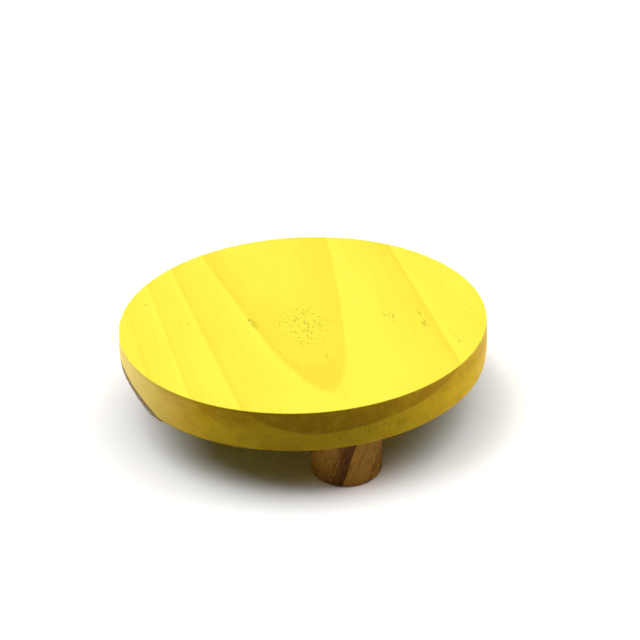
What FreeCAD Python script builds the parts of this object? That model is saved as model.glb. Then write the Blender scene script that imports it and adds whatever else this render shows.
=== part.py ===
# Round wooden rolling board on three short turned legs.
#
# The board is one slab, flat sawn from a trunk and cut to a disc. Its lower left edge runs off the
# trunk, so a strip of the trunk's bark side (the wane) is left there. Each leg is butted against
# the underside and held by one countersunk wood screw, driven up through a counterbore in its foot.
#
# Frame: millimetres, +Z up, +Y along the grain, -Y towards the front leg. The origin is on the
# board's axis, on the surface that the legs stand on.
import FreeCAD
import Part

import math
import os

# Board: the diameter is the working face's, and the rim bulges out from it at half height
board_diameter = 230.0
board_thickness = 25.4
rim_bulge = 0.7
rim_bulge_steps = 8
top_edge_radius = 1.0
bottom_edge_radius = 1.6

# Trunk that the slab was sawn from: its pith runs level above the board, along Y
pith_above_top = 120.3
pith_offset = 20.6
wane_depth = 5.8

# Legs
leg_names = ("front", "rear_right", "rear_left")
front_bearing_deg = -90.0
leg_diameter = 41.6
leg_height = 30.0
leg_inset = 3.0
leg_top_chamfer = 1.6
leg_foot_radius = 2.0

# Countersunk wood screws
screw_head_diameter = 9.0
screw_head_land = 0.4
screw_shank_diameter = 4.8
screw_core_diameter = 3.3
screw_thread_pitch = 2.1
screw_thread_width = 1.1
screw_thread_length = 18.0
screw_point_length = 4.0
screw_recess_width = 1.1
screw_recess_span = 5.0
screw_recess_depth = 2.2
screw_head_sink = 4.0
wood_over_screw = 11.4

# Clearances
head_clearance = 0.4
shank_clearance = 0.2
pilot_clearance = 0.1
pilot_over_depth = 1.5

# Places that follow from the sizes above
board_radius = board_diameter / 2
underside = leg_height
top = underside + board_thickness
leg_circle_radius = board_radius - leg_inset - leg_diameter / 2
screw_tip = top - wood_over_screw

UP = FreeCAD.Vector(0, 0, 1)


def turned(points):
    """A solid of revolution about Z from a closed outline of (radius, height) points."""
    outline = [FreeCAD.Vector(radius, 0, height) for radius, height in points]
    face = Part.Face(Part.makePolygon(outline + outline[:1]))
    return face.revolve(FreeCAD.Vector(0, 0, 0), UP, 360)


def edges_at(solid, radius, height):
    """The round edges of a turned solid at that radius and height."""
    return [
        edge
        for edge in solid.Edges
        if isinstance(edge.Curve, Part.Circle)
        and math.isclose(edge.Curve.Radius, radius, abs_tol=1e-6)
        and math.isclose(edge.Curve.Center.z, height, abs_tol=1e-6)
    ]


def trunk():
    """The trunk with its bark: a cylinder about the pith that cuts wane_depth off the lower left edge."""
    furthest = math.hypot(board_radius + pith_offset, board_thickness + pith_above_top)
    half_length = board_diameter
    start = FreeCAD.Vector(pith_offset, -half_length, top + pith_above_top)
    return Part.makeCylinder(furthest - wane_depth, 2 * half_length, start, FreeCAD.Vector(0, 1, 0))


def pilot_hole():
    """The hole for one screw, up into the underside from the leg's axis, with a drill's point."""
    radius = screw_shank_diameter / 2 + pilot_clearance
    drilled_to = screw_tip + pilot_over_depth
    return turned([(0, underside), (radius, underside), (radius, drilled_to - radius), (0, drilled_to)])


def corner(radius, height, start_deg, end_deg):
    """A quarter round of the rim's outline, about a point at that height."""
    middle = FreeCAD.Vector(board_radius - radius, 0, height)
    places = []
    for degrees in (start_deg, (start_deg + end_deg) / 2, end_deg):
        turn = math.radians(degrees)
        places.append(middle + FreeCAD.Vector(math.cos(turn), 0, math.sin(turn)) * radius)
    return Part.Arc(*places).toShape()


def belly(low, high):
    """The rim's outline between its two corners: it bulges out and is upright again at both ends."""
    places = []
    for step in range(rim_bulge_steps + 1):
        share = step / rim_bulge_steps
        out = rim_bulge * math.sin(math.pi * share) ** 2
        places.append(FreeCAD.Vector(board_radius + out, 0, low + (high - low) * share))
    curve = Part.BSplineCurve()
    curve.interpolate(Points=places, InitialTangent=UP, FinalTangent=UP)
    return curve.toShape()


def blank():
    """The bare disc, with eased corners and a bulging rim."""
    low = underside + bottom_edge_radius
    high = top - top_edge_radius
    rim = [
        corner(bottom_edge_radius, low, -90, 0),
        belly(low, high),
        corner(top_edge_radius, high, 0, 90),
    ]
    faces = Part.makePolygon(
        [
            FreeCAD.Vector(board_radius - top_edge_radius, 0, top),
            FreeCAD.Vector(0, 0, top),
            FreeCAD.Vector(0, 0, underside),
            FreeCAD.Vector(board_radius - bottom_edge_radius, 0, underside),
        ]
    )
    section = Part.Face(Part.Wire(rim + faces.Edges))
    return section.revolve(FreeCAD.Vector(0, 0, 0), UP, 360)


def board():
    """The slab: the disc, cut back to the trunk's surface and drilled for the screws."""
    slab = blank().common(trunk())
    for place in leg_places().values():
        slab = slab.cut(at_leg(pilot_hole(), place))
    return slab.removeSplitter()


def leg():
    """One leg standing on the origin: a turned post with a screw hole, seat and counterbore."""
    radius = leg_diameter / 2
    bore = screw_head_diameter / 2 + head_clearance
    hole = screw_shank_diameter / 2 + shank_clearance
    seat_start = screw_head_sink + screw_head_land - head_clearance
    seat_end = seat_start + bore - hole
    post = turned(
        [
            (bore, 0),
            (radius, 0),
            (radius, leg_height),
            (hole, leg_height),
            (hole, seat_end),
            (bore, seat_start),
        ]
    )
    post = post.makeChamfer(leg_top_chamfer, edges_at(post, radius, leg_height))
    return post.makeFillet(leg_foot_radius, edges_at(post, radius, 0))


def thread(start, end):
    """The helical ridge of a screw's thread, from one height to another."""
    root = screw_core_diameter / 2
    crest = screw_shank_diameter / 2
    sunk_root = root - (crest - root) / 4
    helix = Part.makeHelix(screw_thread_pitch, end - start, sunk_root)
    corners = [
        FreeCAD.Vector(sunk_root, 0, -screw_thread_width / 2),
        FreeCAD.Vector(crest, 0, 0),
        FreeCAD.Vector(sunk_root, 0, screw_thread_width / 2),
    ]
    ridge = Part.Wire(helix).makePipeShell([Part.makePolygon(corners + corners[:1])], True, True)
    return ridge.translated(FreeCAD.Vector(0, 0, start))


def cross_recess():
    """The driver's cross in a screw head: two crossed slots that narrow to the bottom of a cone."""
    slot = Part.makeBox(screw_recess_span, screw_recess_width, screw_recess_depth)
    slot.translate(FreeCAD.Vector(-screw_recess_span / 2, -screw_recess_width / 2, screw_head_sink))
    other_slot = slot.copy()
    other_slot.rotate(FreeCAD.Vector(0, 0, 0), UP, 90)
    cone = Part.makeCone(
        screw_recess_span / 2,
        screw_recess_width / 2,
        screw_recess_depth,
        FreeCAD.Vector(0, 0, screw_head_sink),
    )
    return slot.fuse(other_slot).common(cone)


def screw():
    """One wood screw on the origin's axis, head down in the foot and point up in the board."""
    head = screw_head_diameter / 2
    shank = screw_shank_diameter / 2
    core = screw_core_diameter / 2
    cone_start = screw_head_sink + screw_head_land
    thread_start = screw_tip - screw_thread_length
    point_start = screw_tip - screw_point_length
    blank = turned(
        [
            (0, screw_head_sink),
            (head, screw_head_sink),
            (head, cone_start),
            (shank, cone_start + head - shank),
            (shank, thread_start),
            (core, thread_start + shank - core),
            (core, point_start),
            (0, screw_tip),
        ]
    )
    ridge = thread(thread_start + shank - core, point_start)
    return blank.fuse(ridge).cut(cross_recess()).removeSplitter()


def leg_places():
    """Each leg's name and the point under it, evenly spaced round the board from the front."""
    places = {}
    for number, name in enumerate(leg_names):
        bearing = math.radians(front_bearing_deg + number * 360 / len(leg_names))
        places[name] = FreeCAD.Vector(
            leg_circle_radius * math.cos(bearing), leg_circle_radius * math.sin(bearing), 0
        )
    return places


def at_leg(shape, place):
    """A copy of a shape that was made on the origin, moved to one leg's place."""
    return shape.translated(place)


def main():
    """Builds every piece and writes each one to its own file."""
    pieces = {"board": board()}
    post, fastener = leg(), screw()
    for name, place in leg_places().items():
        pieces["leg_" + name] = at_leg(post, place)
        pieces["screw_" + name] = at_leg(fastener, place)
    os.makedirs("parts", exist_ok=True)
    for name, shape in pieces.items():
        shape.exportStep(os.path.join("parts", name + ".step"))
        print(name, "valid", shape.isValid(), "solids", len(shape.Solids), "volume", round(shape.Volume, 1))


main()
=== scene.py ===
"""Looks of a round yellow-dyed wooden rolling board on three short brown legs.

The board is one slab, flat sawn from a trunk. Its rings, pores and bark edge all follow the same pith
line, so the pattern runs unbroken from the working face over the edge and round the rim.
"""

import logging
import math
from collections.abc import Callable, Mapping, Sequence
from dataclasses import dataclass, field
from enum import Enum

import bmesh
import bpy
from mathutils import Euler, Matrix, Quaternion, Vector, noise


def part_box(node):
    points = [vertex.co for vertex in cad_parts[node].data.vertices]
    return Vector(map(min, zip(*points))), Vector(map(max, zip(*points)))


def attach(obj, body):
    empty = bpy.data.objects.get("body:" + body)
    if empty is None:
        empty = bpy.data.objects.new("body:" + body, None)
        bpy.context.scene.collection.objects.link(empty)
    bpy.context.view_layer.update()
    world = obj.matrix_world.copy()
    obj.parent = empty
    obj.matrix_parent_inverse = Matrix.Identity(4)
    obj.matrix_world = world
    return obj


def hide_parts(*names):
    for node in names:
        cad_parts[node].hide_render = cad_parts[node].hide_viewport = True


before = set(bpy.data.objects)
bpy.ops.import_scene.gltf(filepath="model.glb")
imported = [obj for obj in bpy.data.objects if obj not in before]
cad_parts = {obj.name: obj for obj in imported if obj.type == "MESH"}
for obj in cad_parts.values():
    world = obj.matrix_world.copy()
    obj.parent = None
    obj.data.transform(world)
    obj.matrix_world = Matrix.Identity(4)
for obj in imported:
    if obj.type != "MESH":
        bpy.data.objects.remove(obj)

MM = 0.001
NEAR = 0.05 * MM
BODY = "root"

# Height of the working face, in millimetres
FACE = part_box("board")[1].z / MM

# The slab's trunk, in millimetres: how far its pith lies right of the middle and above the working face,
# and the radii of the wood and of the two layers of bark over it
PITH_RIGHT = 20.6
PITH_ABOVE_FACE = 120.3
WOOD_RADIUS = 189.8
INNER_BARK_RADIUS = 191.3
BARK_RADIUS = 193.2
TRUNK_SEGMENTS = 720

log = logging.getLogger("chakla")

Socket = bpy.types.NodeSocket
Tree = bpy.types.NodeTree
Triple = tuple[float, float, float]
Stops = Sequence[tuple[float, str]]


class Slot(Enum):
    """The record's material slots for the new pieces."""

    BOARD = "dyed_wood"
    LEG = "leg_wood"


class LegPlace(Enum):
    """Where a leg stands under the board, as its node's name says it."""

    FRONT = "front"
    REAR_RIGHT = "rear_right"
    REAR_LEFT = "rear_left"

    def node(self, kind: str) -> str:
        """The name of the node of that kind at this place, such as leg_front."""
        return f"{kind}_{self.value}"

    def axis(self) -> Vector:
        """The point under the leg's axis, on the floor."""
        low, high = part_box(self.node("leg"))
        return Vector(((low.x + high.x) / 2, (low.y + high.y) / 2, low.z))


class Element(Enum):
    """What a selection in edit mode is made of."""

    VERTS = "VERT"
    EDGES = "EDGE"
    FACES = "FACE"


def linear(hex_colour: str) -> tuple[float, float, float, float]:
    """Turns an sRGB colour to the linear one that shaders take.

    Args:
        hex_colour: six hex digits, red first.

    Returns:
        Linear red, green and blue, and an alpha of 1.
    """
    shares = (int(hex_colour[start:start + 2], 16) / 255 for start in (0, 2, 4))
    light = (s / 12.92 if s <= 0.04045 else ((s + 0.055) / 1.055) ** 2.4 for s in shares)
    return (*light, 1.0)


def add(
    tree: Tree,
    kind: str,
    inputs: Mapping[str | int, object] | None = None,
    output: str | int = 0,
    stops: Stops = (),
    **settings: object,
) -> Socket | None:
    """Adds one node to a shader, with its settings and links.

    Args:
        tree: the shader's node tree.
        kind: the node's type, without the word ShaderNode.
        inputs: for an input's name or number, a value or the output that feeds it.
        output: the name or number of the output that is handed back.
        stops: for a colour ramp, its places and their sRGB colours, from low to high.
        settings: the node's own properties.

    Returns:
        The chosen output, or None for a node that has none.
    """
    node = tree.nodes.new("ShaderNode" + kind)
    for name, value in settings.items():
        setattr(node, name, value)
    for name, value in (inputs or {}).items():
        if isinstance(value, Socket):
            tree.links.new(value, node.inputs[name])
        else:
            node.inputs[name].default_value = value
    if stops:
        elements = node.color_ramp.elements
        while len(elements) < len(stops):
            elements.new(1.0)
        for element, (place, hex_colour) in zip(elements, stops):
            element.position = place
            element.color = linear(hex_colour)
    return node.outputs[output] if node.outputs else None


def new_shader(name: str) -> tuple[bpy.types.Material, Tree]:
    """Makes an empty material.

    Args:
        name: what the material is.

    Returns:
        The material and its bare node tree.
    """
    material = bpy.data.materials.new(name)
    material.use_nodes = True
    material.node_tree.nodes.clear()
    return material, material.node_tree


def deselect() -> None:
    """Leaves edit mode and deselects every object."""
    if bpy.context.object and bpy.context.object.mode != "OBJECT":
        bpy.ops.object.mode_set(mode="OBJECT")
    bpy.ops.object.select_all(action="DESELECT")


def activate(piece: bpy.types.Object) -> None:
    """Makes one object the only selected one and the active one.

    Args:
        piece: the object.
    """
    deselect()
    piece.select_set(True)
    bpy.context.view_layer.objects.active = piece


def settle(name: str) -> bpy.types.Object:
    """Names the active object and puts its place and turn into its mesh.

    Args:
        name: the object's name.

    Returns:
        The object.
    """
    bpy.ops.object.transform_apply(location=True, rotation=True, scale=True)
    bpy.context.object.name = name
    return bpy.context.object


def choose(piece: bpy.types.Object, element: Element, test: Callable[[Vector, Vector], bool]) -> None:
    """Selects parts of the mesh that is being edited, by their place.

    Args:
        piece: the object in edit mode.
        element: what is selected.
        test: is given a vertex's place and normal, an edge's two ends, or a face's centre and normal.
    """
    bpy.ops.mesh.select_mode(type=element.value)
    bpy.ops.mesh.select_all(action="DESELECT")
    mesh = bmesh.from_edit_mesh(piece.data)
    if element is Element.VERTS:
        for vert in mesh.verts:
            vert.select_set(test(vert.co, vert.normal))
    elif element is Element.EDGES:
        for edge in mesh.edges:
            edge.select_set(test(edge.verts[0].co, edge.verts[1].co))
    else:
        for face in mesh.faces:
            face.select_set(test(face.calc_center_median(), face.normal))
    bmesh.update_edit_mesh(piece.data)


def apply_modifier(piece: bpy.types.Object, kind: str, **settings: object) -> None:
    """Adds one modifier and applies it.

    Args:
        piece: the object that it changes.
        kind: the modifier's type.
        settings: the modifier's properties.
    """
    activate(piece)
    modifier = piece.modifiers.new(kind.lower(), kind)
    for name, value in settings.items():
        setattr(modifier, name, value)
    bpy.ops.object.modifier_apply(modifier=modifier.name)


def cut(piece: bpy.types.Object, cutter: bpy.types.Object, operation: str) -> None:
    """Cuts a piece with another solid, which is then deleted.

    Args:
        piece: what is cut.
        cutter: the solid that cuts it.
        operation: INTERSECT keeps what lies inside the cutter, DIFFERENCE what lies outside.
    """
    apply_modifier(piece, "BOOLEAN", operation=operation, object=cutter, solver="EXACT")
    bpy.data.objects.remove(cutter)


def runs_round(start: Vector, end: Vector, radius: float, height: float) -> bool:
    """Says whether an edge runs round the Z axis at that height, at that radius or further out."""
    return all(abs(co.z - height) < NEAR and co.xy.length > radius - NEAR for co in (start, end))


def smooth(piece: bpy.types.Object, sharp_deg: float, flat_weight: int = 80) -> None:
    """Shades a piece smooth but for its sharp edges, with its broad faces kept flat.

    Args:
        piece: the object that it changes.
        sharp_deg: the turn from face to face past which an edge is sharp.
        flat_weight: how much more a broad face counts than a narrow one.
    """
    apply_modifier(piece, "WEIGHTED_NORMAL", weight=flat_weight)
    bpy.ops.object.shade_smooth_by_angle(angle=math.radians(sharp_deg))


def waver(
    piece: bpy.types.Object, test: Callable[[Vector, Vector], bool], wave: float, depth: float
) -> None:
    """Makes part of a surface a little uneven, as hand work leaves it.

    Args:
        piece: the object that it changes.
        test: is given a vertex's place and normal, and says whether it moves.
        wave: how far apart the swells are.
        depth: how far the lowest and the highest places are apart.
    """
    activate(piece)
    bpy.ops.object.mode_set(mode="EDIT")
    choose(piece, Element.VERTS, test)
    bpy.ops.object.vertex_group_assign_new()
    group = piece.vertex_groups[-1]
    group.name = "uneven"
    texture = bpy.data.textures.new("hand_work", "CLOUDS")
    texture.noise_scale = wave
    apply_modifier(piece, "DISPLACE", texture=texture, vertex_group=group.name, strength=depth)
    piece.vertex_groups.clear()


def adopt(piece: bpy.types.Object, slot: Slot, *nodes: str) -> None:
    """Ties a finished piece to the part.

    Args:
        piece: the piece.
        slot: its material slot; not used.
        nodes: the nodes that it stands for.
    """
    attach(piece, BODY)
    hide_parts(*nodes)
    log.info("made %s, %d faces", piece.name, len(piece.data.polygons))


def direction(azimuth_deg: float, elevation_deg: float) -> Vector:
    """The way from the object to a point round it.

    Args:
        azimuth_deg: 0 in front of the object, 90 on its right.
        elevation_deg: the height over the horizon.

    Returns:
        A unit vector.
    """
    azimuth, elevation = math.radians(azimuth_deg), math.radians(elevation_deg)
    return Vector(
        (
            math.sin(azimuth) * math.cos(elevation),
            -math.cos(azimuth) * math.cos(elevation),
            math.sin(elevation),
        )
    )


@dataclass(frozen=True)
class Pith:
    """The line that a timber's rings lie round, in millimetres in the part's frame.

    A turn lays the line along Y, so that a pattern can be drawn out along Y for every timber.
    """

    point: Triple
    turn_deg: Triple = (0.0, 0.0, 0.0)

    def turn(self) -> Euler:
        """The turn that lays the pith along Y."""
        return Euler([math.radians(angle) for angle in self.turn_deg])

    def along(self) -> Vector:
        """The way that the pith runs, in the part's frame."""
        return self.turn().to_matrix().inverted() @ Vector((0, 1, 0))

    def place(self, tree: Tree) -> Socket:
        """Reads the place in the timber: millimetres from the pith, with the grain along Y.

        Args:
            tree: the material's node tree.

        Returns:
            The place.
        """
        settings = {
            "Vector": add(tree, "TexCoord", output="Object"),
            "Location": tuple(-(self.turn().to_matrix() @ Vector(self.point))),
            "Rotation": tuple(self.turn()),
            "Scale": (1 / MM, 1 / MM, 1 / MM),
        }
        return add(tree, "Mapping", settings)

    def trunk(self, radius: float, length: float) -> bpy.types.Object:
        """Makes a round trunk about the pith, as a solid to cut with.

        Args:
            radius: the trunk's radius, in metres.
            length: its length, in metres.

        Returns:
            The solid.
        """
        deselect()
        bpy.ops.mesh.primitive_cylinder_add(
            vertices=TRUNK_SEGMENTS,
            radius=radius,
            depth=length,
            location=Vector(self.point) * MM,
            rotation=self.along().to_track_quat("Z", "Y").to_euler(),
        )
        return settle("trunk")


def pith_distance(tree: Tree, place: Socket) -> Socket:
    """Measures how far a place in the timber is from the pith, in millimetres."""
    across = add(tree, "VectorMath", {0: place, 1: (1.0, 0.0, 1.0)}, operation="MULTIPLY")
    return add(tree, "VectorMath", {0: across}, output="Value", operation="LENGTH")


def ring_share(tree: Tree, radius: Socket, first_ring: float, spacing: float) -> Socket:
    """Says how far through its own growth ring a place is, from 0 at the ring's start to 1 at its end.

    Args:
        tree: the material's node tree.
        radius: the distance from the pith, in millimetres.
        first_ring: the distance at which a ring starts.
        spacing: how thick a ring is.

    Returns:
        The share.
    """
    from_ring = add(tree, "Math", {0: radius, 1: first_ring}, operation="SUBTRACT")
    counted = add(tree, "Math", {0: from_ring, 1: spacing}, operation="DIVIDE")
    return add(tree, "Math", {0: counted}, operation="FRACT")


def overlaid(tree: Tree, shade: Socket, layers: Sequence[tuple[Socket, float]]) -> Socket:
    """Lays finer variation over a shade.

    Args:
        tree: the material's node tree.
        shade: the shade that is varied.
        layers: noises, from 0 to 1 about a half, and how strongly each one counts.

    Returns:
        The varied shade.
    """
    for values, weight in layers:
        centred = add(tree, "Math", {0: values, 1: 0.5}, operation="SUBTRACT")
        shade = add(tree, "Math", {0: centred, 1: weight, 2: shade}, operation="MULTIPLY_ADD")
    return shade


@dataclass(frozen=True)
class Grain:
    """Noise drawn out along the grain, in millimetres, with finer noise laid over it."""

    width: float
    length: float
    weight: float = 1.0
    detail: float = 2.0

    def values(self, tree: Tree, place: Socket, output: str | int = 0) -> Socket:
        """Draws the noise.

        Args:
            tree: the material's node tree.
            place: the place in the timber, in millimetres.
            output: the noise's value, 0, or its Color for three values.

        Returns:
            The noise, from 0 to 1 about a half.
        """
        scale = (1 / self.width, 1 / self.length, 1 / self.width)
        scaled = add(tree, "VectorMath", {0: place, 1: scale}, operation="MULTIPLY")
        inputs = {"Vector": scaled, "Scale": 1.0, "Detail": self.detail}
        return add(tree, "TexNoise", inputs, output=output)


@dataclass(frozen=True)
class Sway:
    """Noise that pushes places about, so that what is drawn on them wanders or has ragged edges.

    Its reach is how far a place is pushed along each axis from one side to the other, in millimetres.
    """

    grain: Grain
    reach: Triple

    def push(self, tree: Tree, place: Socket) -> Socket:
        """Pushes a place.

        Args:
            tree: the material's node tree.
            place: the place, in millimetres.

        Returns:
            The pushed place.
        """
        values = self.grain.values(tree, place, output="Color")
        centred = add(tree, "VectorMath", {0: values, 1: (0.5, 0.5, 0.5)}, operation="SUBTRACT")
        return add(tree, "VectorMath", {0: centred, 1: self.reach, 2: place}, operation="MULTIPLY_ADD")


@dataclass(frozen=True)
class Patch:
    """A soft-edged region of the slab, in millimetres in the part's frame.

    Its strength is for what it marks: the darkness of a stain, the density of pores or the ripples' depth.
    """

    centre: Triple
    half_size: Triple
    strength: float = 1.0

    def mask(self, tree: Tree, place: Socket, inner: float) -> Socket:
        """Fades from the patch's strength to nothing at its edge.

        Args:
            tree: the material's node tree.
            place: the place in the part, in millimetres.
            inner: the share of the half size that has the full strength.

        Returns:
            The fading strength.
        """
        offset = add(tree, "VectorMath", {0: place, 1: self.centre}, operation="SUBTRACT")
        scaled = add(tree, "VectorMath", {0: offset, 1: self.half_size}, operation="DIVIDE")
        reach = add(tree, "VectorMath", {0: scaled}, output="Value", operation="LENGTH")
        limits = {"Value": reach, "From Min": inner, "From Max": 1.0, "To Min": self.strength, "To Max": 0.0}
        return add(tree, "MapRange", limits, interpolation_type="SMOOTHSTEP")


def strongest(tree: Tree, place: Socket, patches: Sequence[Patch], inner: float) -> Socket:
    """Finds the strongest of several patches at a place.

    Args:
        tree: the material's node tree.
        place: the place in the part, in millimetres.
        patches: the patches.
        inner: the share of each patch's half size that has its full strength.

    Returns:
        The strength.
    """
    masks = [patch.mask(tree, place, inner) for patch in patches]
    strength = masks[0]
    for mask in masks[1:]:
        strength = add(tree, "Math", {0: strength, 1: mask}, operation="MAXIMUM")
    return strength


@dataclass(frozen=True)
class DyedSlab:
    """Soft pale timber, sawn and sanded, steeped in yellow dye and left without varnish.

    Sizes are in millimetres. Fibres are drawn about three times too wide, or they would not show.
    """

    pith: Pith
    # Dye on the long grain, the cut ends and the rim's flanks, and the underside painted dark to deepen the
    # shade under the board
    early: str = "FDF54B"
    middle: str = "FAE83E"
    late: str = "F6D830"
    end_early: str = "E6BE18"
    end_late: str = "BE9000"
    painted_shade_underside: str = "A89838"
    flank: str = "E9C87C"
    flank_share: float = 0.75
    # Rings, which fade outwards, and their finer grain
    first_ring: float = 134.1
    ring_spacing: float = 13.45
    ring_shades: Stops = (
        (0.0, "404040"),
        (0.03, "000000"),
        (0.12, "404040"),
        (0.3, "707070"),
        (0.7, "949494"),
        (0.85, "ACACAC"),
        (0.93, "C2C2C2"),
        (0.985, "CCCCCC"),
        (1.0, "404040"),
    )
    faded_shade: float = 0.16
    outer_contrast: float = 0.45
    wander: Sway = Sway(Grain(60.0, 300.0), (0.8, 0.0, 0.8))
    lines: Grain = Grain(2.0, 160.0, 0.35, 1.0)
    line_bend: Sway = Sway(Grain(12.0, 30.0), (2.5, 0.0, 0.0))
    fibres: Grain = Grain(0.9, 24.0, 0.32, 3.0)
    blotches: Grain = Grain(45.0, 110.0, 0.8)
    flecks: Grain = Grain(0.8, 30.0, 0.4, 1.0)
    # The heart, which lies off the pith on one side and tapers
    heart_ring: float = 147.5
    heart_edge: float = 1.0
    heart_push: float = 14.2
    heart_side: tuple[float, float] = (-78.1, 16.4)
    heart_rings: tuple[float, float] = (134.1, 162.4)
    heart_taper: float = -0.0284
    # Shades of the end grain, with painted shade on the upper rim under the top edge and a dark line along
    # that edge
    end_ring_weight: float = 0.75
    end_shift: float = -0.08
    end_dark: float = 0.8
    mottle: Grain = Grain(7.0, 40.0, 1.3)
    specks: Grain = Grain(1.2, 20.0, 0.9)
    painted_rim_shade_depth: tuple[float, float] = (13.0, 5.0)
    painted_rim_shade_rings: tuple[float, float] = (158.5, 176.0)
    painted_rim_shade_share: float = 0.75
    edge_line: float = 1.8
    edge_share: float = 0.35
    # Surface, with the planer's ripples on one side, drawn as bumps and as painted shade
    roughness: tuple[float, float] = (0.55, 0.75)
    specular: float = 0.15
    bump: float = 0.35
    relief: float = 0.25 * MM
    ripple_way: Triple = (0.53, -0.85, 0.0)
    ripple_spacing: float = 4.2
    ripple_sway: Sway = Sway(Grain(12.0, 12.0), (2.0, 2.0, 0.0))
    ripple_relief: float = 0.5
    ripple_painted_shade: float = 0.12
    ripples: Patch = Patch((97.0, -12.5, FACE), (31.0, 34.0, 6.0))
    # Stains and pores
    stain: str = "A87412"
    stain_edge: Sway = Sway(Grain(1.2, 5.0), (1.2, 5.0, 0.0))
    stain_gaps: Grain = Grain(0.7, 3.0)
    stains: tuple[Patch, ...] = (
        Patch((-33.6, 3.4, FACE), (1.0, 3.4, 3.0), 0.8),
        Patch((-32.0, -3.0, FACE), (3.0, 8.5, 6.0), 0.35),
        Patch((69.6, -22.0, FACE), (0.7, 6.5, 2.0), 0.9),
        Patch((67.3, -36.0, FACE), (0.7, 5.7, 2.0), 0.9),
        Patch((69.1, -35.0, FACE), (0.6, 6.7, 2.0), 0.7),
        Patch((80.0, -64.0, FACE), (0.9, 2.5, 2.0), 0.7),
        Patch((-91.6, 45.6, FACE), (0.9, 1.8, 2.0), 0.8),
        Patch((0.0, -54.0, FACE), (1.0, 3.4, 2.0), 0.4),
    )
    pore: str = "4A3004"
    pore_pitch: Triple = (0.8, 2.0, 0.8)
    pore_share: float = 0.6
    pore_reach: float = 0.5
    pore_dark: float = 0.65
    clumps: Grain = Grain(5.0, 12.0)
    porous: tuple[Patch, ...] = (
        Patch((-3.0, -15.0, FACE), (25.0, 46.0, 12.0), 1.0),
        Patch((50.0, -20.0, FACE), (10.0, 22.0, 6.0), 0.6),
        Patch((-73.0, 12.6, FACE), (8.0, 20.0, 6.0), 0.4),
        Patch((8.0, -114.5, 40.0), (38.0, 12.0, 9.0), 1.3),
    )

    def material(self) -> bpy.types.Material:
        """Builds the material.

        Returns:
            The material.
        """
        # Earlywood takes the dye as clear lemon, latewood as a warmer yellow that stops at a sharp line,
        # and end grain drinks the most and goes to amber. Pores are short dark dashes along the grain.
        material, tree = new_shader("dyed_softwood_sanded")
        place = self.pith.place(tree)
        inputs = {0: add(tree, "TexCoord", output="Object"), "Scale": 1 / MM}
        part_place = add(tree, "VectorMath", inputs, operation="SCALE")
        radius = self.ring_radius(tree, place)
        fibre = self.fibres.values(tree, place)
        ripple = self.ripple_height(tree, part_place)
        shade = self.ring_shade(tree, place, radius, fibre, ripple)
        colour = self.dye_and_painted_shade_colour(tree, part_place, radius, shade)
        marks = {
            self.stain: self.stain_strength(tree, place, part_place),
            self.pore: self.pore_strength(tree, place, part_place),
        }
        for mark, strength in marks.items():
            inputs = {0: strength, 6: colour, 7: linear(mark)}
            colour = add(tree, "Mix", inputs, output=2, data_type="RGBA")
        height = add(tree, "Math", {0: ripple, 1: self.ripple_relief, 2: fibre}, operation="MULTIPLY_ADD")
        smoothest, roughest = self.roughness
        inputs = {
            "Base Color": colour,
            "Roughness": add(tree, "MapRange", {"Value": fibre, "To Min": smoothest, "To Max": roughest}),
            "Normal": add(tree, "Bump", {"Strength": self.bump, "Distance": self.relief, "Height": height}),
            "Specular IOR Level": self.specular,
        }
        add(tree, "OutputMaterial", {"Surface": add(tree, "BsdfPrincipled", inputs)})
        return material

    def ring_radius(self, tree: Tree, place: Socket) -> Socket:
        """Measures the distance from the pith, with the rings' wander and the heart pushed to one side.

        Args:
            tree: the material's node tree.
            place: the place in the timber, in millimetres.

        Returns:
            The distance in millimetres.
        """
        radius = pith_distance(tree, self.wander.push(tree, place))
        axes = add(tree, "SeparateXYZ", {0: place}).node
        left, right = self.heart_side
        limits = {"Value": axes.outputs["X"], "From Min": left, "From Max": right, "To Max": self.heart_push}
        push = add(tree, "MapRange", limits, interpolation_type="SMOOTHSTEP")
        inputs = {0: axes.outputs["Y"], 1: self.heart_taper, 2: push}
        push = add(tree, "Math", inputs, operation="MULTIPLY_ADD")
        inner, outer = self.heart_rings
        limits = {"Value": radius, "From Min": inner, "From Max": outer, "To Min": 1.0, "To Max": 0.0}
        heart = add(tree, "MapRange", limits, interpolation_type="SMOOTHSTEP")
        return add(tree, "Math", {0: push, 1: heart, 2: radius}, operation="MULTIPLY_ADD")

    def ring_shade(self, tree: Tree, place: Socket, radius: Socket, fibre: Socket, ripple: Socket) -> Socket:
        """Shades each ring from earlywood, 0, to latewood, 1, with finer variation and the ripples' painted
        shade laid over.

        Args:
            tree: the material's node tree.
            place: the place in the timber, in millimetres.
            radius: the distance from the pith.
            fibre: the noise of the fibres.
            ripple: the height of the planer's ripples.

        Returns:
            The shade.
        """
        share = ring_share(tree, radius, self.first_ring, self.ring_spacing)
        shade = add(tree, "ValToRGB", {0: share}, stops=self.ring_shades)
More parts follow.
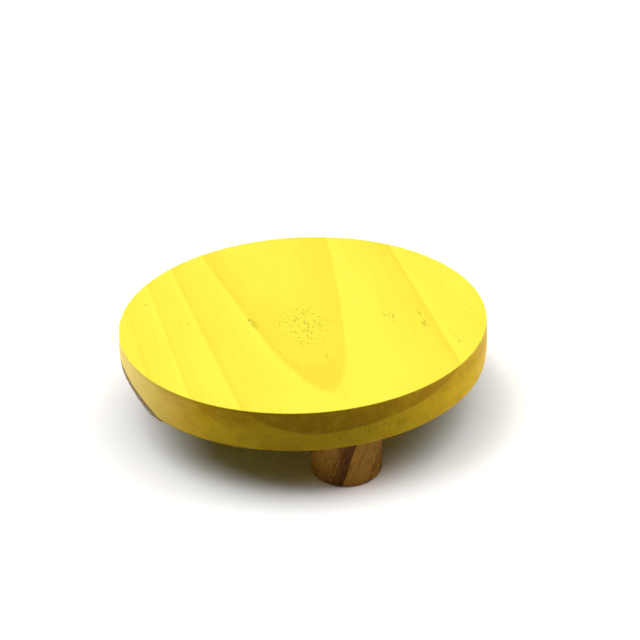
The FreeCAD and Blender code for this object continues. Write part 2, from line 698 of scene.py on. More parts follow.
        # The rings' contrast fades out towards the outer end of the painted rim shade's rings
        limits = {
            "Value": radius,
            "From Min": self.heart_ring,
            "From Max": self.painted_rim_shade_rings[1],
            "To Min": 1.0,
            "To Max": self.outer_contrast,
        }
        contrast = add(tree, "MapRange", limits)
        shade = add(tree, "Mix", {0: contrast, 2: self.faded_shade, 3: shade}, data_type="FLOAT")
        along = add(tree, "SeparateXYZ", {0: place}, output="Y")
        line_place = add(tree, "CombineXYZ", {"X": radius, "Y": along, "Z": 0.0})
        lines = self.lines.values(tree, self.line_bend.push(tree, line_place))
        flecks = self.flecks.values(tree, place)
        limits = {"Value": flecks, "From Min": 0.58, "From Max": 0.75, "To Min": 0.5, "To Max": 1.0}
        layers = [
            (lines, self.lines.weight),
            (fibre, self.fibres.weight),
            (self.blotches.values(tree, place), self.blotches.weight),
            (add(tree, "MapRange", limits), self.flecks.weight),
        ]
        shade = overlaid(tree, shade, layers)
        # Painted shade: the planer's ripples lighten and darken the colour besides the bumps
        return add(tree, "Math", {0: ripple, 1: self.ripple_painted_shade, 2: shade}, operation="MULTIPLY_ADD")

    def dye_and_painted_shade_colour(self, tree: Tree, part_place: Socket, radius: Socket, shade: Socket) -> Socket:
        """Colours the wood by its shade and how squarely the grain is cut, with paler rim flanks and painted
        shade below and on the upper rim.

        Args:
            tree: the material's node tree.
            part_place: the place in the part, in millimetres.
            radius: the distance from the pith.
            shade: from earlywood, 0, to latewood, 1.

        Returns:
            The colour.
        """
        facing = add(tree, "NewGeometry", output="Normal")
        inputs = {0: facing, 1: tuple(self.pith.along())}
        square = add(tree, "VectorMath", inputs, output="Value", operation="DOT_PRODUCT")
        square = add(tree, "Math", {0: square}, operation="ABSOLUTE")
        upward = add(tree, "SeparateXYZ", {0: facing}, output="Z")
        height = add(tree, "SeparateXYZ", {0: part_place}, output="Z")
        stops = [(0.0, self.early), (0.5, self.middle), (1.0, self.late)]
        long_grain = add(tree, "ValToRGB", {0: shade}, stops=stops)
        end_shade = self.end_shade(tree, part_place, height, radius, shade)
        stops = [(0.0, self.end_early), (1.0, self.end_late)]
        end_grain = add(tree, "ValToRGB", {0: end_shade}, stops=stops)
        limits = {"Value": square, "From Min": 0.1, "From Max": 0.6}
        ends = add(tree, "MapRange", limits, interpolation_type="SMOOTHSTEP")
        # Painted shade: faces that look down take a dark colour that deepens the shade under the board
        limits = {"Value": upward, "From Min": -0.9, "From Max": -0.6, "To Min": 1.0, "To Max": 0.0}
        painted_shade_below = add(tree, "MapRange", limits)
        flanks = self.flank_strength(tree, square, upward)
        edge = self.edge_strength(tree, square, height)
        colour = long_grain
        layers = (
            (ends, end_grain),
            (flanks, linear(self.flank)),
            (painted_shade_below, linear(self.painted_shade_underside)),
            (edge, linear(self.stain)),
        )
        for strength, over in layers:
            colour = add(tree, "Mix", {0: strength, 6: colour, 7: over}, output=2, data_type="RGBA")
        return colour

    def flank_strength(self, tree: Tree, square: Socket, upward: Socket) -> Socket:
        """Picks out the rim's two flanks, where the grain runs along the surface.

        Args:
            tree: the material's node tree.
            square: how squarely the grain is cut, from 0 to 1.
            upward: how far up the surface faces, from -1 to 1.

        Returns:
            The strength, from 0 to flank_share.
        """
        level = add(tree, "Math", {0: upward}, operation="ABSOLUTE")
        limits = {"Value": level, "From Min": 0.3, "From Max": 0.7, "To Min": 1.0, "To Max": 0.0}
        rim = add(tree, "MapRange", limits)
        share = self.flank_share
        limits = {"Value": square, "From Min": 0.25, "From Max": 0.7, "To Min": share, "To Max": 0.0}
        return add(tree, "Math", {0: rim, 1: add(tree, "MapRange", limits)}, operation="MULTIPLY")

    def edge_strength(self, tree: Tree, square: Socket, height: Socket) -> Socket:
        """Picks out a dark line along the top edge, where the grain is cut most squarely.

        Args:
            tree: the material's node tree.
            square: how squarely the grain is cut, from 0 to 1.
            height: the height in the part, in millimetres.

        Returns:
            The strength, from 0 to edge_share.
        """
        limits = {
            "Value": height,
            "From Min": FACE - self.edge_line,
            "From Max": FACE - self.edge_line / 3,
            "To Max": self.edge_share,
        }
        line = add(tree, "MapRange", limits)
        squarest = add(tree, "MapRange", {"Value": square, "From Min": 0.75, "From Max": 0.95})
        return add(tree, "Math", {0: line, 1: squarest}, operation="MULTIPLY")

    def end_shade(self, tree: Tree, place: Socket, height: Socket, radius: Socket, shade: Socket) -> Socket:
        """Shades the end grain: dark in the heart and with painted shade on the upper rim under the top
        edge, with fainter rings.

        Args:
            tree: the material's node tree.
            place: the place in the part, in millimetres.
            height: the height in the part.
            radius: the distance from the pith.
            shade: from earlywood, 0, to latewood, 1.

        Returns:
            The shade.
        """
        limits = {
            "Value": radius,
            "From Min": self.heart_ring - self.heart_edge,
            "From Max": self.heart_ring,
            "To Min": 1.0,
            "To Max": 0.0,
        }
        heart = add(tree, "MapRange", limits)
        # Painted shade: the rim darkens towards its top edge, most over the inner rings, fading out across
        # the outer ones
        deep, shallow = self.painted_rim_shade_depth
        limits = {"Value": height, "From Min": FACE - deep, "From Max": FACE - shallow}
        painted_rim_shade = add(tree, "MapRange", limits, interpolation_type="SMOOTHSTEP")
        start, end = self.painted_rim_shade_rings
        limits = {
            "Value": radius,
            "From Min": start,
            "From Max": end,
            "To Min": self.painted_rim_shade_share,
            "To Max": 0.0,
        }
        inner = add(tree, "MapRange", limits, interpolation_type="SMOOTHSTEP")
        painted_rim_shade = add(tree, "Math", {0: painted_rim_shade, 1: inner}, operation="MULTIPLY")
        dark = add(tree, "Math", {0: heart, 1: painted_rim_shade}, operation="MAXIMUM")
        inputs = {0: shade, 1: self.end_ring_weight, 2: self.end_shift}
        rings = add(tree, "Math", inputs, operation="MULTIPLY_ADD")
        layers = [(grain.values(tree, place), grain.weight) for grain in (self.mottle, self.specks)]
        inputs = {0: dark, 1: self.end_dark, 2: overlaid(tree, rings, layers)}
        return add(tree, "Math", inputs, operation="MULTIPLY_ADD")

    def ripple_height(self, tree: Tree, part_place: Socket) -> Socket:
        """Draws the planer's shallow ripples on one side of the working face.

        Args:
            tree: the material's node tree.
            part_place: the place in the part, in millimetres.

        Returns:
            The height, from -1 to 1.
        """
        inputs = {0: self.ripple_sway.push(tree, part_place), 1: self.ripple_way}
        across = add(tree, "VectorMath", inputs, output="Value", operation="DOT_PRODUCT")
        turns = add(tree, "Math", {0: across, 1: math.tau / self.ripple_spacing}, operation="MULTIPLY")
        wave = add(tree, "Math", {0: turns}, operation="SINE")
        mask = self.ripples.mask(tree, part_place, inner=0.2)
        return add(tree, "Math", {0: wave, 1: mask}, operation="MULTIPLY")

    def stain_strength(self, tree: Tree, place: Socket, part_place: Socket) -> Socket:
        """Darkens the stains, with ragged edges.

        Args:
            tree: the material's node tree.
            place: the place in the timber, in millimetres.
            part_place: the place in the part, in millimetres.

        Returns:
            The darkness, from 0 to 1.
        """
        strength = strongest(tree, self.stain_edge.push(tree, part_place), self.stains, inner=0.2)
        broken = self.stain_gaps.values(tree, place)
        gaps = add(tree, "MapRange", {"Value": broken, "From Min": 0.35, "From Max": 0.6, "To Min": 0.3})
        return add(tree, "Math", {0: strength, 1: gaps}, operation="MULTIPLY")

    def pore_strength(self, tree: Tree, place: Socket, part_place: Socket) -> Socket:
        """Draws short dark dashes along the grain, thick in the porous patches and rare elsewhere.

        Args:
            tree: the material's node tree.
            place: the place in the timber, in millimetres.
            part_place: the place in the part, in millimetres.

        Returns:
            The darkness, from 0 to pore_dark.
        """
        density = strongest(tree, part_place, self.porous, inner=0.0)
        clumped = self.clumps.values(tree, place)
        limits = {"Value": clumped, "From Min": 0.4, "From Max": 0.55, "To Min": 0.25}
        density = add(tree, "Math", {0: density, 1: add(tree, "MapRange", limits)}, operation="MULTIPLY")
        scaled = add(tree, "VectorMath", {0: place, 1: self.pore_pitch}, operation="DIVIDE")
        reach = add(tree, "TexVoronoi", {"Vector": scaled, "Scale": 1.0}, output="Distance")
        chance = add(tree, "SeparateColor", {0: reach.node.outputs["Color"]})
        present = add(tree, "Math", {0: density, 1: self.pore_share, 2: chance}, operation="MULTIPLY_ADD")
        limits = {"Value": present, "From Min": 0.98, "From Max": 1.2, "To Max": self.pore_reach}
        size = add(tree, "MapRange", limits)
        inside = add(tree, "Math", {0: size, 1: reach}, operation="SUBTRACT")
        limits = {"Value": inside, "From Min": 0.0, "From Max": 0.15, "To Max": self.pore_dark}
        return add(tree, "MapRange", limits)


@dataclass(frozen=True)
class DryBark:
    """Dry bark, fibrous and split along the trunk. Sizes are in millimetres."""

    pith: Pith
    bast: str = "94764A"
    dark_bast: str = "5C4628"
    cork: str = "BCA87C"
    crust: str = "786A52"
    crack: str = "443624"
    crack_dark: float = 0.7
    fibres: Grain = Grain(0.8, 16.0, detail=4.0)
    wander: Sway = Sway(Grain(6.0, 40.0), (0.8, 0.0, 0.8))
    roughness: float = 0.9
    specular: float = 0.2
    bump: float = 0.8
    relief: float = 0.4 * MM

    def material(self) -> bpy.types.Material:
        """Builds the material.

        Returns:
            The material.
        """
        # Brown bast next to the wood, a pale corky layer over it and a grey crust outside, all quite dull.
        material, tree = new_shader("dry_fibrous_bark")
        place = self.pith.place(tree)
        fibre = self.fibres.values(tree, place)
        radius = pith_distance(tree, self.wander.push(tree, place))
        share = add(tree, "MapRange", {"Value": radius, "From Min": WOOD_RADIUS, "From Max": BARK_RADIUS})
        stops = [
            (0.1, self.dark_bast),
            (0.18, self.bast),
            (0.36, self.bast),
            (0.43, self.cork),
            (0.6, self.cork),
            (0.66, self.crust),
        ]
        colour = add(tree, "ValToRGB", {0: share}, stops=stops)
        limits = {"Value": fibre, "From Min": 0.5, "From Max": 0.7, "To Max": self.crack_dark}
        inputs = {0: add(tree, "MapRange", limits), 6: colour, 7: linear(self.crack)}
        inputs = {
            "Base Color": add(tree, "Mix", inputs, output=2, data_type="RGBA"),
            "Roughness": self.roughness,
            "Normal": add(tree, "Bump", {"Strength": self.bump, "Distance": self.relief, "Height": fibre}),
            "Specular IOR Level": self.specular,
        }
        add(tree, "OutputMaterial", {"Surface": add(tree, "BsdfPrincipled", inputs)})
        return material


@dataclass(frozen=True)
class LegTimber:
    """Close-grained brown hardwood, turned on a lathe and thinly varnished. Sizes are in millimetres."""

    pith: Pith
    first_ring: float
    light: str = "EAA840"
    middle: str = "8C5412"
    dark: str = "582C06"
    pore: str = "3C200A"
    pore_dark: float = 0.7
    ring_spacing: float = 24.0
    ring_shades: Stops = (
        (0.0, "505050"),
        (0.04, "101010"),
        (0.4, "202020"),
        (0.7, "A0A0A0"),
        (1.0, "E8E8E8"),
    )
    wander: Sway = Sway(Grain(9.0, 30.0), (5.0, 0.0, 5.0))
    fibres: Grain = Grain(0.7, 11.0, 1.1, 4.0)
    bands: Grain = Grain(3.0, 50.0, 0.9)
    roughness: float = 0.5
    specular: float = 0.15
    bump: float = 0.4
    relief: float = 0.15 * MM

    def material(self, name: str) -> bpy.types.Material:
        """Builds the material.

        Args:
            name: the leg that it is for.

        Returns:
            The material.
        """
        # Red-brown latewood against golden earlywood, fine dark pores up the post and a soft shine.
        material, tree = new_shader(f"varnished_brown_hardwood_{name}")
        place = self.pith.place(tree)
        radius = pith_distance(tree, self.wander.push(tree, place))
        share = ring_share(tree, radius, self.first_ring, self.ring_spacing)
        shade = add(tree, "ValToRGB", {0: share}, stops=self.ring_shades)
        fibre = self.fibres.values(tree, place)
        bands = self.bands.values(tree, place)
        shade = overlaid(tree, shade, [(fibre, self.fibres.weight), (bands, self.bands.weight)])
        stops = [(0.0, self.light), (0.5, self.middle), (1.0, self.dark)]
        colour = add(tree, "ValToRGB", {0: shade}, stops=stops)
        limits = {"Value": fibre, "From Min": 0.6, "From Max": 0.75, "To Max": self.pore_dark}
        inputs = {0: add(tree, "MapRange", limits), 6: colour, 7: linear(self.pore)}
        inputs = {
            "Base Color": add(tree, "Mix", inputs, output=2, data_type="RGBA"),
            "Roughness": self.roughness,
            "Normal": add(tree, "Bump", {"Strength": self.bump, "Distance": self.relief, "Height": fibre}),
            "Specular IOR Level": self.specular,
        }
        add(tree, "OutputMaterial", {"Surface": add(tree, "BsdfPrincipled", inputs)})
        return material


@dataclass(frozen=True)
class ZincSteel:
    """Steel wood screws with a dull yellowish zinc plating. Sizes are in millimetres."""

    bright: str = "B5AC94"
    dull: str = "8C8168"
    blotch: float = 1.5
    roughness: tuple[float, float] = (0.3, 0.5)

    def material(self) -> bpy.types.Material:
        """Builds the material.

        Returns:
            The material.
        """
        # A soft metal shine, a little blotched.
        material, tree = new_shader("zinc_plated_steel")
        place = add(tree, "TexCoord", output="Object")
        values = add(tree, "TexNoise", {"Vector": place, "Scale": 1 / (self.blotch * MM), "Detail": 3.0})
        colour = add(tree, "ValToRGB", {0: values}, stops=[(0.3, self.dull), (0.7, self.bright)])
        smoothest, roughest = self.roughness
        rough = add(tree, "MapRange", {"Value": values, "To Min": roughest, "To Max": smoothest})
        inputs = {"Base Color": colour, "Metallic": 1.0, "Roughness": rough}
        add(tree, "OutputMaterial", {"Surface": add(tree, "BsdfPrincipled", inputs)})
        return material


@dataclass
class Board:
    """The slab, in metres: a thick disc with a bulging rim, cut back to the wood on its lower left."""

    pith: Pith
    wood_radius: float = WOOD_RADIUS * MM
    rim_segments: int = 288
    rim_rows: int = 11
    rim_bulge: float = 0.7 * MM
    top_ease: float = 0.6 * MM
    bottom_ease: float = 1.6 * MM
    ease_segments: int = 4
    face_margin: float = 3.0 * MM
    rim_wave: float = 22.0 * MM
    rim_unevenness: float = 0.5 * MM
    pilot_radius: float = 2.5 * MM
    pilot_over_depth: float = 1.5 * MM
    pilot_segments: int = 32
    sharp_deg: float = 30.0
    piece: bpy.types.Object | None = field(default=None, init=False)

    def __post_init__(self) -> None:
        """Takes the disc's size from the frame."""
        low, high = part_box("board")
        self.radius = (high.y - low.y) / 2 - self.rim_bulge
        self.bottom = low.z
        self.top = high.z

    def blank(self, name: str) -> bpy.types.Object:
        """Makes a disc with a bulging rim and sharp edges, and leaves it in edit mode.

        Args:
            name: the object's name.

        Returns:
            The disc.
        """
        deselect()
        bpy.ops.mesh.primitive_cylinder_add(
            vertices=self.rim_segments,
            radius=self.radius,
            depth=self.top - self.bottom,
            location=(0, 0, (self.top + self.bottom) / 2),
        )
        disc = settle(name)
        bpy.ops.object.mode_set(mode="EDIT")
        choose(disc, Element.EDGES, lambda a, b: abs(a.z - b.z) > self.top_ease)
        bpy.ops.mesh.subdivide(number_cuts=self.rim_rows)
        for row in range(1, self.rim_rows + 1):
            share = row / (self.rim_rows + 1)
            height = self.bottom + share * (self.top - self.bottom)
            choose(disc, Element.VERTS, lambda co, _: abs(co.z - height) < NEAR)
            wider = 1 + self.rim_bulge * math.sin(math.pi * share) ** 2 / self.radius
            bpy.ops.transform.resize(value=(wider, wider, 1), center_override=(0, 0, height))
        return disc

    def build(self) -> None:
        """Models the slab."""
        self.piece = self.blank("board_slab")
        for height, ease in ((self.top, self.top_ease), (self.bottom, self.bottom_ease)):
            choose(self.piece, Element.EDGES, lambda a, b: runs_round(a, b, self.radius, height))
            bpy.ops.mesh.bevel(offset=ease, segments=self.ease_segments, affect="EDGES")
            middle = Vector((0, 0, height))
            choose(self.piece, Element.FACES, lambda centre, _: (centre - middle).length < NEAR)
            bpy.ops.mesh.inset(thickness=self.face_margin)
        low, high = self.bottom + self.face_margin, self.top - self.face_margin
        waver(self.piece, lambda co, _: low < co.z < high, self.rim_wave, self.rim_unevenness)
        cut(self.piece, self.trunk(self.wood_radius), "INTERSECT")
        for place in LegPlace:
            cut(self.piece, self.drill(place), "DIFFERENCE")
        smooth(self.piece, self.sharp_deg)

    def trunk(self, radius: float) -> bpy.types.Object:
        """Makes the slab's trunk with that radius, twice as long as the board is wide."""
        return self.pith.trunk(radius, 4 * self.radius)

    def drill(self, place: LegPlace) -> bpy.types.Object:
        """Makes the solid that drills one screw's pilot hole, with its point.

        Args:
            place: the leg that the screw holds.

        Returns:
            The solid.
        """
        start = self.bottom - self.pilot_radius
        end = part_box(place.node("screw"))[1].z + self.pilot_over_depth - self.pilot_radius
        deselect()
        bpy.ops.mesh.primitive_cylinder_add(
            vertices=self.pilot_segments,
            radius=self.pilot_radius,
            depth=end - start,
            location=place.axis() + Vector((0, 0, (start + end) / 2)),
        )
        solid = settle("drill")
        bpy.ops.object.mode_set(mode="EDIT")
        choose(solid, Element.FACES, lambda centre, _: centre.z > end - NEAR)
        bpy.ops.mesh.extrude_region_move(TRANSFORM_OT_translate={"value": (0, 0, self.pilot_radius)})
        bpy.ops.mesh.merge(type="CENTER")
        bpy.ops.object.mode_set(mode="OBJECT")
        return solid

    def disc(self) -> bpy.types.Object:
        """Makes the bare disc as a solid to trim the bark with.

        Returns:
            The disc.
        """
        disc = self.blank("disc")
        bpy.ops.object.mode_set(mode="OBJECT")
        return disc

    def dress(self) -> None:
        """Gives the slab its finish and ties it to the part."""
        self.piece.data.materials.append(DyedSlab(self.pith).material())
        adopt(self.piece, Slot.BOARD, "board")


@dataclass
class BarkLayer:
    """One layer of bark left on the wane, in metres: a ragged sheet, trimmed to the board's disc."""

    name: str
    board: Board
    inner_radius: float
    outer_radius: float
    front_end: float
    tear: float = 5.0 * MM
    tear_wave: float = 4.0 * MM
    middle: Triple = (-110 * MM, 0.0, 32 * MM)
    tilt_deg: float = 223.0
    width: float = 44 * MM
    length: float = 170 * MM
    mesh_pitch: float = 0.8 * MM
    relief: float = 0.6 * MM
    relief_wave: float = 3.0 * MM
    sharp_deg: float = 40.0
    piece: bpy.types.Object | None = field(default=None, init=False)

    def build(self) -> None:
        """Models the layer."""
        deselect()
        bpy.ops.mesh.primitive_grid_add(
            x_subdivisions=round(self.width / self.mesh_pitch),
            y_subdivisions=round(self.length / self.mesh_pitch),
            size=1,
            location=self.middle,
            rotation=(0, math.radians(self.tilt_deg), 0),
        )
        bpy.context.object.scale = (self.width, self.length, 1)
        self.piece = settle(self.name)
        trunk = self.board.trunk(self.outer_radius)
        apply_modifier(self.piece, "SHRINKWRAP", target=trunk)
        bpy.data.objects.remove(trunk)
        bpy.ops.object.mode_set(mode="EDIT")
        choose(self.piece, Element.FACES, lambda centre, _: self.is_lost(centre))
        bpy.ops.mesh.delete(type="FACE")
        waver(self.piece, lambda co, normal: True, self.relief_wave, self.relief)
        thickness = self.outer_radius - self.inner_radius
        apply_modifier(self.piece, "SOLIDIFY", thickness=thickness, offset=-1)
        cut(self.piece, self.board.disc(), "INTERSECT")
        bpy.ops.object.shade_smooth_by_angle(angle=math.radians(self.sharp_deg))

    def is_lost(self, place: Vector) -> bool:
        """Says whether the bark has broken away at a place, past its ragged front end."""
        return place.y < self.front_end + noise.noise(place / self.tear_wave) * self.tear

    def dress(self) -> None:
        """Gives the layer its finish and ties it to the part."""
        self.piece.data.materials.append(DryBark(self.board.pith).material())
        adopt(self.piece, Slot.BOARD, "board")


@dataclass(frozen=True)
class PostGrain:
    """How a leg lies in its timber: where its pith is from the leg's foot, and where a ring starts.

    Sizes are in millimetres.
    """

    pith_offset: Triple
    lean_deg: float
    first_ring: float

    def pith(self, foot: Vector) -> Pith:
        """The pith line of a leg that stands on that point, with the grain up the post."""
        return Pith(tuple(foot / MM + Vector(self.pith_offset)), (-90.0, 0.0, self.lean_deg))


@dataclass
class Legs:
    """The three turned legs, in metres, each with a counterbore, a seat and a hole for its screw."""

    bore_radius: float = 4.9 * MM
    hole_radius: float = 2.6 * MM
    seat_start: float = 4.0 * MM
    seat_end: float = 6.3 * MM
    top_chamfer: float = 1.6 * MM
    foot_ease: float = 2.0 * MM
    ease_segments: int = 4
    turn_steps: int = 96
    rows: int = 12
    tool_wave: float = 7.0 * MM
    unevenness: float = 0.25 * MM
    sharp_deg: float = 35.0
    grains: Mapping[LegPlace, PostGrain] = field(
        default_factory=lambda: {
            LegPlace.FRONT: PostGrain((-40.0, 10.0, 14.0), 22.0, 44.7),
            LegPlace.REAR_RIGHT: PostGrain((30.0, 25.0, 14.0), -6.0, 38.0),
            LegPlace.REAR_LEFT: PostGrain((15.0, -45.0, 14.0), 4.0, 44.0),
        }
    )
    pieces: dict[LegPlace, bpy.types.Object] = field(default_factory=dict, init=False)

    def __post_init__(self) -> None:
        """Takes a leg's size from the frame."""
        low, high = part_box(LegPlace.FRONT.node("leg"))
        self.radius = (high.x - low.x) / 2
        self.height = high.z - low.z

    def build(self) -> None:
        """Turns one leg and copies it to each place, each copy turned another way round."""
        post = self.turned_post()
        for number, place in enumerate(LegPlace):
            piece = post.copy()
            piece.data = post.data.copy()
            bpy.context.scene.collection.objects.link(piece)
            piece.location = place.axis()
            piece.rotation_euler.z = math.tau * number / len(LegPlace)
            activate(piece)
            self.pieces[place] = settle(f"turned_leg_{place.value}")
        bpy.data.objects.remove(post)

    def turned_post(self) -> bpy.types.Object:
        """Draws half of a leg's section, spins it round the axis and eases its edges.

        Returns:
            The post, standing on the origin.
        """
        outline = [
            Vector((self.bore_radius, 0, 0)),
            Vector((self.radius, 0, 0)),
            Vector((self.radius, 0, self.height)),
            Vector((self.hole_radius, 0, self.height)),
            Vector((self.hole_radius, 0, self.seat_end)),
            Vector((self.bore_radius, 0, self.seat_start)),
            Vector((self.bore_radius, 0, 0)),
        ]
        deselect()
        bpy.ops.mesh.primitive_plane_add(size=MM, location=outline[0])
        post = settle("turned_post")
        bpy.ops.object.mode_set(mode="EDIT")
        choose(post, Element.VERTS, lambda co, _: True)
        bpy.ops.mesh.merge(type="CENTER")
        for start, end in zip(outline, outline[1:]):
            bpy.ops.mesh.extrude_region_move(TRANSFORM_OT_translate={"value": end - start})
        bpy.ops.mesh.select_all(action="SELECT")
        bpy.ops.mesh.remove_doubles(threshold=NEAR)
        bpy.ops.mesh.spin(steps=self.turn_steps, angle=math.tau, center=(0, 0, 0), axis=(0, 0, 1))
        bpy.ops.mesh.select_all(action="SELECT")
        bpy.ops.mesh.remove_doubles(threshold=NEAR)
        bpy.ops.mesh.normals_make_consistent(inside=False)
        choose(post, Element.EDGES, self.is_upright)
        bpy.ops.mesh.subdivide(number_cuts=self.rows)
        choose(post, Element.EDGES, lambda a, b: runs_round(a, b, self.radius, self.height))
        bpy.ops.mesh.bevel(offset=self.top_chamfer, segments=1, affect="EDGES")
        choose(post, Element.EDGES, lambda a, b: runs_round(a, b, self.radius, 0))
        bpy.ops.mesh.bevel(offset=self.foot_ease, segments=self.ease_segments, affect="EDGES")
        waver(post, lambda co, _: co.xy.length > self.radius - NEAR, self.tool_wave, self.unevenness)
        smooth(post, self.sharp_deg)
        return post

    def is_upright(self, start: Vector, end: Vector) -> bool:
        """Says whether an edge runs all the way up the post's outside."""
        return abs(start.z - end.z) > self.height / 2 and start.xy.length > self.bore_radius

    def dress(self) -> None:
        """Gives each leg its own timber and ties it to the part."""
        for place, piece in self.pieces.items():
            grain = self.grains[place]
            timber = LegTimber(grain.pith(place.axis()), grain.first_ring)
            piece.data.materials.clear()
            piece.data.materials.append(timber.material(place.value))
            adopt(piece, Slot.LEG, place.node("leg"))


@dataclass
class Screws:
    """The three wood screws, which keep the construction's own shape."""

    def dress(self) -> None:
        """Gives the screws their finish."""
        steel = ZincSteel().material()
        for place in LegPlace:
            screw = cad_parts[place.node("screw")]
            screw.data.materials.clear()
            screw.data.materials.append(steel)
            log.info("dressed %s", screw.name)


@dataclass(frozen=True)
class Lamp:
    """One far soft lamp. Its azimuth is 0 in front of the object and 90 on its right."""

    name: str
    strength: float
    azimuth_deg: float
    elevation_deg: float
    spread_deg: float = 45.0

    def build(self, lit: Sequence[bpy.types.Object]) -> None:
        """Adds the lamp to the scene.

        Args:
            lit: the pieces that it lights.
        """
        light = bpy.data.lights.new(self.name, "SUN")
        light.energy = self.strength
        light.angle = math.radians(self.spread_deg)
        lamp = bpy.data.objects.new(self.name, light)
        bpy.context.scene.collection.objects.link(lamp)
        way = direction(self.azimuth_deg, self.elevation_deg)
        lamp.rotation_mode = "QUATERNION"
        lamp.rotation_quaternion = way.to_track_quat("Z", "Y")
        lamp.light_linking.receiver_collection = bpy.data.collections.new(f"lit_by_{self.name}")
        for piece in lit:
            lamp.light_linking.receiver_collection.objects.link(piece)


@dataclass
class Studio:
    """A plain white floor under a pale roof with an open front, and soft lamps on both sides.

    Two strong lamps light the board and its bark alone, so that the space under it stays as dark as a low
    board leaves it. Two weaker ones light the floor, and the right one of these lights the legs too.
    """

    floor_size: float = 12.0
    floor_white: float = 1.68
    floor_bounce: str = "C0C0C0"
    roof_light: float = 1.17
    roof_edges: tuple[float, float] = (0.5, 1.0)
    front_share: float = 0.05
    front_azimuth_deg: float = -14.0
    front_edges: tuple[float, float] = (0.0, 0.6)
    left: Lamp = Lamp("left", 3.05, -126.0, 20.0)
    right: Lamp = Lamp("right", 2.9, 95.0, 20.0)
    floor_left: Lamp = Lamp("floor_left", 0.9, -125.0, 57.0)
    floor_right: Lamp = Lamp("floor_right", 0.65, 102.0, 47.0)

    def build(self, slab: Sequence[bpy.types.Object], legs: Sequence[bpy.types.Object]) -> None:
        """Makes the floor, the roof and the lamps.

        Args:
            slab: the board and its bark.
            legs: the legs.
        """
        deselect()
        bpy.ops.mesh.primitive_plane_add(size=self.floor_size)
        floor = bpy.context.object
        floor.name = "studio_floor"
        floor.data.materials.append(self.floor_material())
        self.left.build(slab)
        self.right.build(slab)
        self.floor_left.build([floor])
        self.floor_right.build([floor, *legs])
        self.roof()

    def seen(self, tree: Tree) -> Socket:
        """Tells the rays that show the surroundings from those that only bring light.

        Args:
            tree: the node tree of the floor or the surround.

        Returns:
            1 for a ray that shows them and 0 for another.
        """
        shown = add(tree, "LightPath", output="Is Camera Ray")
        for ray in ("Is Glossy Ray", "Is Transmission Ray"):
            shown = add(tree, "Math", {0: shown, 1: add(tree, "LightPath", output=ray)}, operation="MAXIMUM")
        return shown

    def floor_material(self) -> bpy.types.Material:
        """Builds the floor's material.

        Returns:
            The material.
        """
        # Matt white paper, shown brighter than it is so that it stays white round the shadow.
        material, tree = new_shader("white_paper_floor")
        white = (self.floor_white, self.floor_white, self.floor_white, 1.0)
        inputs = {0: self.seen(tree), 6: linear(self.floor_bounce), 7: white}
        colour = add(tree, "Mix", inputs, output=2, data_type="RGBA", clamp_result=False)
        add(tree, "OutputMaterial", {"Surface": add(tree, "BsdfDiffuse", {"Color": colour})})
        return material

    def roof(self) -> None:
        """Sets a surround that is white to the eye, and lights from above and from behind."""
        world = bpy.data.worlds.new("pale_roof")
        bpy.context.scene.world = world
        world.use_nodes = True
        tree = world.node_tree
        tree.nodes.clear()
        way = add(tree, "TexCoord", output="Generated")
        inputs = {0: way, 1: tuple(direction(self.front_azimuth_deg, 0.0))}
        facing = add(tree, "VectorMath", inputs, output="Value", operation="DOT_PRODUCT")
        start, end = self.front_edges
        limits = {
            "Value": facing,
            "From Min": start,
            "From Max": end,
            "To Min": 1.0,
            "To Max": self.front_share,
        }
        behind = add(tree, "MapRange", limits, interpolation_type="SMOOTHSTEP")
        start, end = self.roof_edges
        height = add(tree, "SeparateXYZ", {0: way}, output="Z")
        limits = {"Value": height, "From Min": start, "From Max": end, "To Max": self.roof_light}
        above = add(tree, "MapRange", limits, interpolation_type="SMOOTHSTEP")
        light = add(tree, "Math", {0: above, 1: behind}, operation="MULTIPLY")
        strength = add(tree, "Mix", {0: self.seen(tree), 2: light, 3: 1.0}, data_type="FLOAT")
        surface = add(tree, "Background", {"Color": linear("FFFFFF"), "Strength": strength})
        add(tree, "OutputWorld", {"Surface": surface})


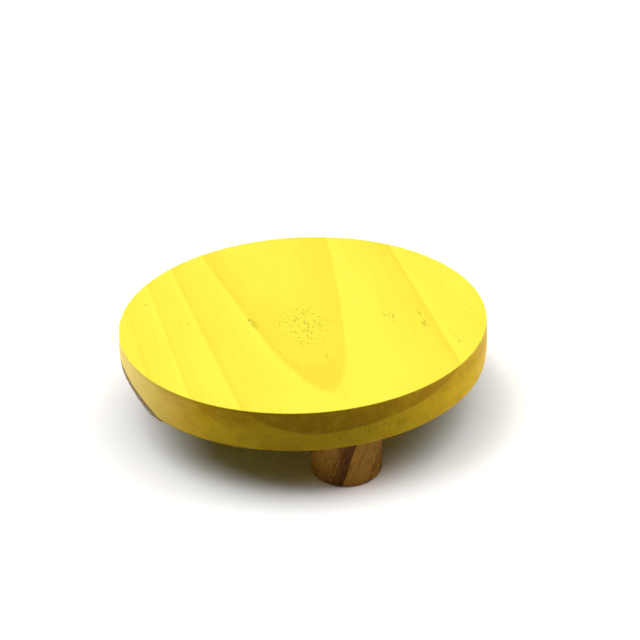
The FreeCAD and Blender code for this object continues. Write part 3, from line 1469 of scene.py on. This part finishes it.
@dataclass(frozen=True)
class View:
    """The camera, placed from the middle of the working face. The image is taken as 640 pixels square."""

    azimuth_deg: float = -14.0
    elevation_deg: float = 28.41
    distance: float = 0.8171
    roll_deg: float = 2.61
    focal_px: float = 1300.0
    image_px: float = 640.0
    middle_px: tuple[float, float] = (302.53, 314.41)
    sensor_mm: float = 36.0
    near_clip: float = 0.01

    def build(self, middle: Vector) -> None:
        """Makes the camera and gives it to the scene.

        Args:
            middle: the centre of the working face, which falls on middle_px.
        """
        data = bpy.data.cameras.new("camera")
        data.sensor_width = self.sensor_mm
        data.lens = self.focal_px * self.sensor_mm / self.image_px
        data.clip_start = self.near_clip
        camera = bpy.data.objects.new("camera", data)
        bpy.context.scene.collection.objects.link(camera)
        back = direction(self.azimuth_deg, self.elevation_deg)
        camera.location = middle + back * self.distance
        half = self.image_px / 2
        right = (self.middle_px[0] - half) / self.focal_px
        up = (half - self.middle_px[1]) / self.focal_px
        aim = (-back).to_track_quat("-Z", "Y")
        roll = Quaternion((0, 0, 1), math.radians(-self.roll_deg))
        off_centre = Vector((right, up, -1)).rotation_difference(Vector((0, 0, -1)))
        camera.rotation_mode = "QUATERNION"
        camera.rotation_quaternion = aim @ roll @ off_centre
        bpy.context.scene.camera = camera


def main() -> None:
    """Builds the pieces, the studio and the camera."""
    logging.basicConfig(level=logging.INFO, format="%(name)s: %(message)s")
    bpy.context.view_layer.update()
    bpy.context.scene.view_settings.view_transform = "Standard"
    board = Board(Pith((PITH_RIGHT, 0.0, FACE + PITH_ABOVE_FACE)))
    board.build()
    board.dress()
    bark = [
        BarkLayer("bark_inner", board, WOOD_RADIUS * MM, INNER_BARK_RADIUS * MM, front_end=-58 * MM),
        BarkLayer("bark_outer", board, INNER_BARK_RADIUS * MM, BARK_RADIUS * MM, front_end=-50 * MM),
    ]
    for layer in bark:
        layer.build()
        layer.dress()
    legs = Legs()
    legs.build()
    legs.dress()
    Screws().dress()
    Studio().build([board.piece, *(layer.piece for layer in bark)], list(legs.pieces.values()))
    View().build(Vector((0, 0, board.top)))


if __name__ == "__main__":
    main()
